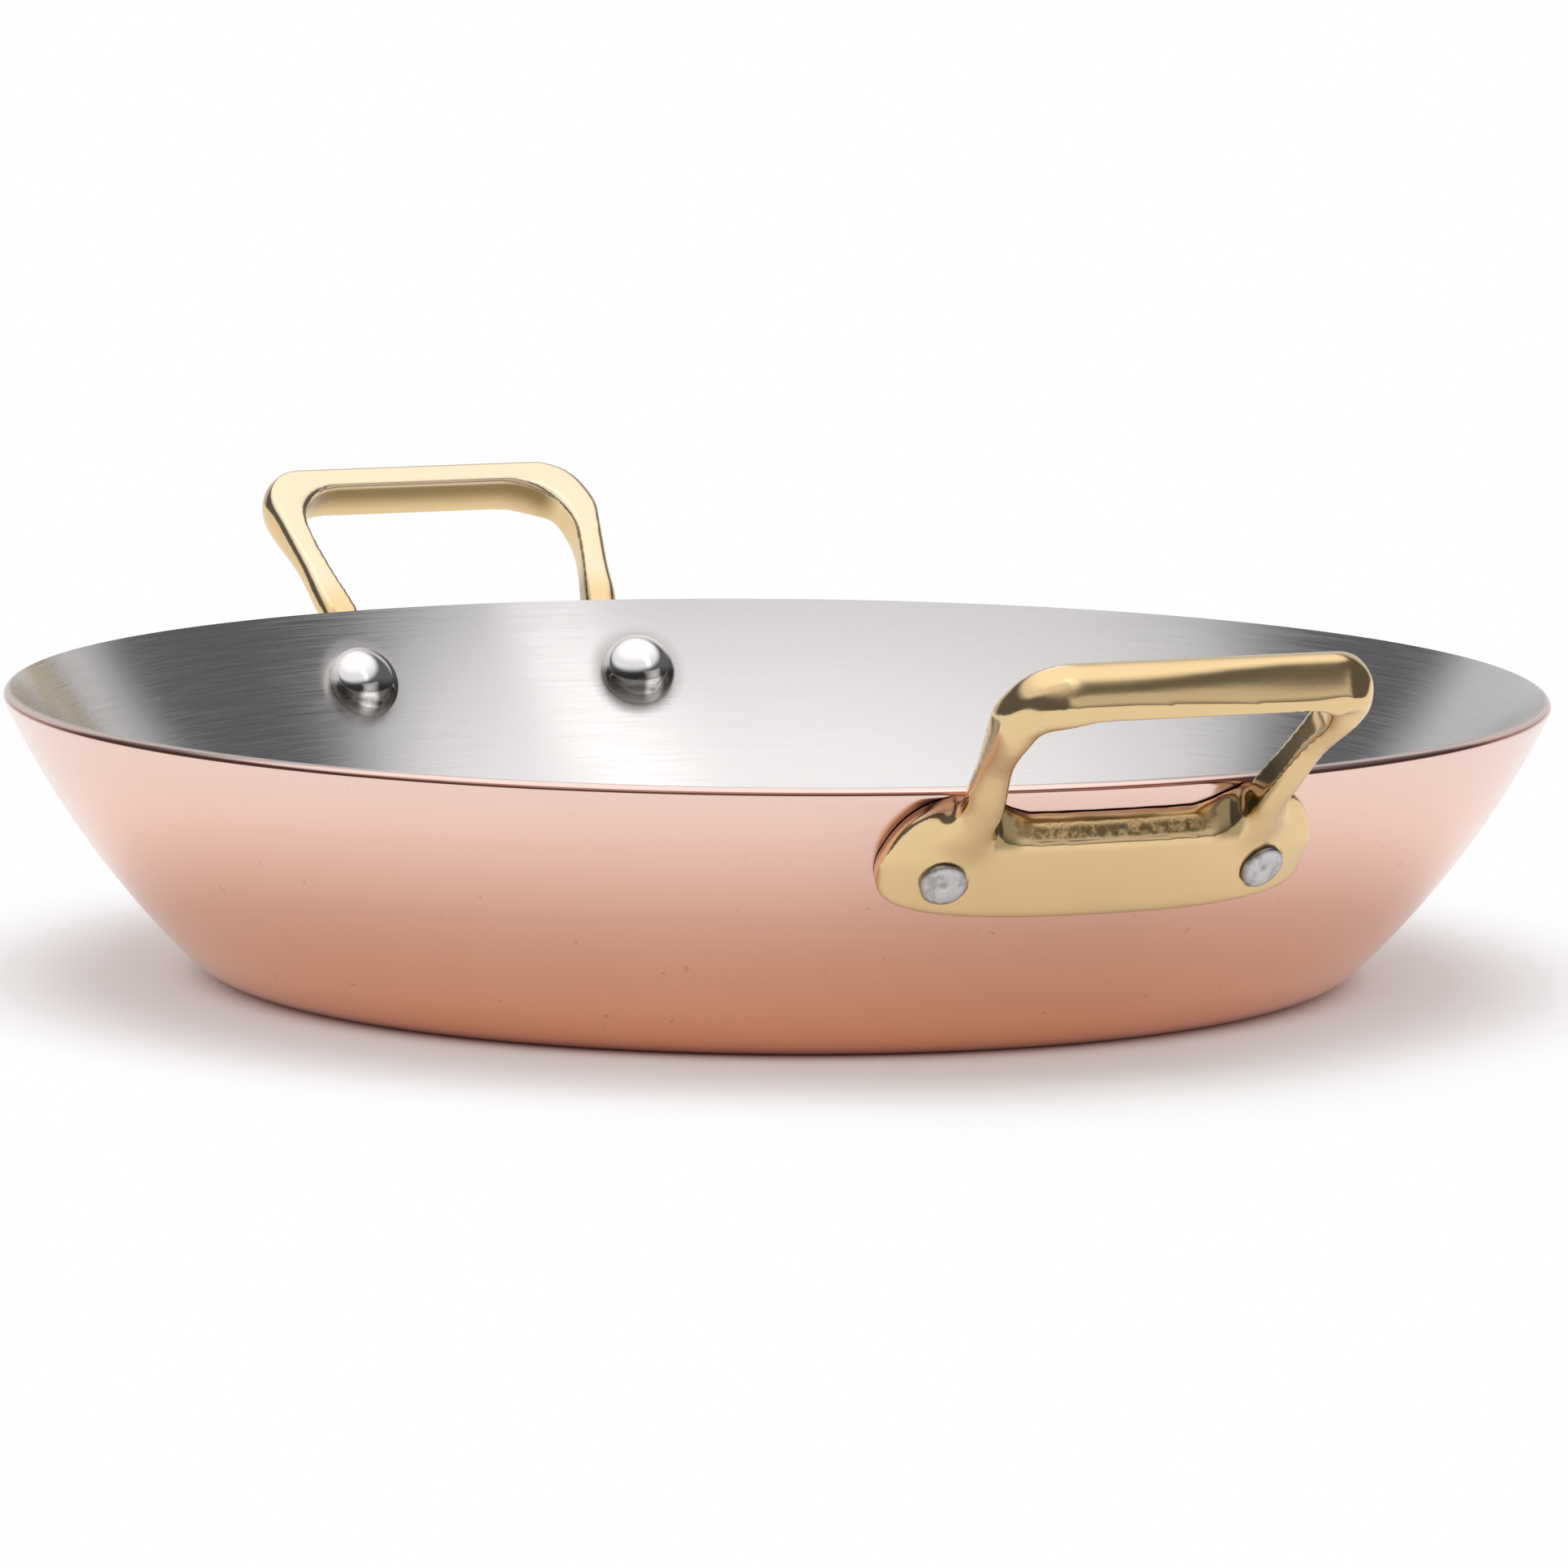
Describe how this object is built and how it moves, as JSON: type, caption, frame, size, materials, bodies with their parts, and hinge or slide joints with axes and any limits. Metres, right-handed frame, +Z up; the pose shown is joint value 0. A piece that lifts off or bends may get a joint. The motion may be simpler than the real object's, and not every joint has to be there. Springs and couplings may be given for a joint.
{
  "type": "loop-handled pan",
  "caption": "Shallow round copper pan with a bonded steel lining, a flared curved wall, a flat base and cast brass loop handles riveted on at opposite sides, for cooking and serving.",
  "frame": {"origin": "centre of the flat base, on the table", "axes": "+X through the right handle, +Z up, +Y away from the front"},
  "size_m": [0.3432, 0.28, 0.0761],
  "materials": {
    "copper": "polished copper sheet",
    "lining": "fine brushed, lines running round the bowl",
    "brass": "cast and polished",
    "rivet": "polished"
  },
  "bodies": {
    "root": {"copper_body": "copper", "steel_lining": "lining", "handle_right": "brass", "handle_left": "brass", "rivet_right_front": "rivet", "rivet_right_back": "rivet", "rivet_left_front": "rivet", "rivet_left_back": "rivet"}
  },
  "joints": []
}
